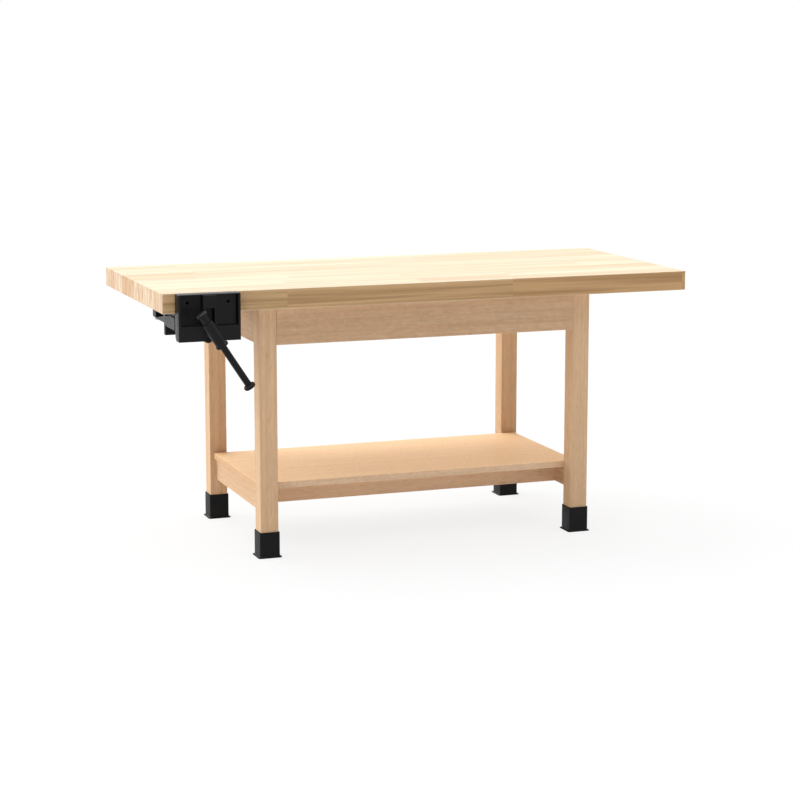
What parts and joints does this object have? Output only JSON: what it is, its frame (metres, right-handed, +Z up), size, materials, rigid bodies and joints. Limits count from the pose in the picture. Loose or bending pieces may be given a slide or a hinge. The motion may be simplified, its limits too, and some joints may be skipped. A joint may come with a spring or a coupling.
{
  "type": "woodworking bench",
  "caption": "Woodworking bench with a thick laminated top, apron frame, square booted legs, a low shelf and a screw vise with a sliding handle bar on its front edge.",
  "frame": {"origin": "on the floor below the middle of the top", "axes": "+X along the bench to the right, -Y towards the front, +Z up"},
  "size_m": [1.6256, 0.8201, 0.7937],
  "materials": {
    "maple_top": "clear satin varnish on edge-glued maple",
    "frame_wood": "clear satin varnish on plain hardwood",
    "shelf_wood": "clear satin varnish on fine-grained board",
    "boot_rubber": "satin moulded black",
    "bracket_steel": "black enamel on bent steel",
    "fastener_steel": "zinc plated",
    "vise_casting": "satin black enamel on cast iron",
    "vise_steel": "blackened turned steel",
    "vise_nut_iron": "as machined, oiled",
    "handle_black": "satin black enamel on steel"
  },
  "bodies": {
    "bench": {"bench_top": "maple_top", "front_left_leg": "frame_wood", "front_right_leg": "frame_wood", "rear_left_leg": "frame_wood", "rear_right_leg": "frame_wood", "front_left_boot": "boot_rubber", "front_right_boot": "boot_rubber", "rear_left_boot": "boot_rubber", "rear_right_boot": "boot_rubber", "front_left_brace": "bracket_steel", "front_right_brace": "bracket_steel", "rear_left_brace": "bracket_steel", "rear_right_brace": "bracket_steel", "front_apron": "frame_wood", "rear_apron": "frame_wood", "left_apron": "frame_wood", "right_apron": "frame_wood", "left_end_rail": "frame_wood", "right_end_rail": "frame_wood", "front_lower_rail": "frame_wood", "rear_lower_rail": "frame_wood", "shelf": "shelf_wood", "hanger_bolts": "fastener_steel", "hanger_nuts": "fastener_steel", "brace_screws": "fastener_steel", "angle_clips": "bracket_steel", "clip_screws": "fastener_steel", "rail_dowels": "frame_wood", "vise_body": "vise_casting", "drive_nut": "vise_nut_iron", "vise_lags": "fastener_steel"},
    "jaw": {"vise_jaw": "vise_casting", "left_guide_rod": "vise_steel", "right_guide_rod": "vise_steel", "vise_yoke": "vise_casting", "rod_nuts": "fastener_steel"},
    "screw": {"vise_screw": "vise_steel", "thrust_collar": "vise_steel", "roll_pins": "fastener_steel", "handle_hub": "vise_casting"},
    "handle": {"handle_bar": "handle_black", "handle_head": "handle_black", "handle_knob": "handle_black"}
  },
  "joints": [
    {"name": "jaw_slide", "type": "slide", "parent": "bench", "child": "jaw", "axis": [0, -1, 0], "range_m": [0, 0.1143]},
    {"name": "screw_turn", "type": "hinge", "parent": "jaw", "child": "screw", "pos_m": [-0.6875, -0.3556, 0.686], "axis": [0, -1, 0], "range_deg": [0, 6480]},
    {"name": "handle_slide", "type": "slide", "parent": "screw", "child": "handle", "axis": [-0.5461, 0, 0.8377], "range_m": [0, 0.1325]}
  ],
  "couplings": [
    {"joint": "jaw_slide", "follows": "screw_turn", "m_per_rad": 0.0010106}
  ]
}
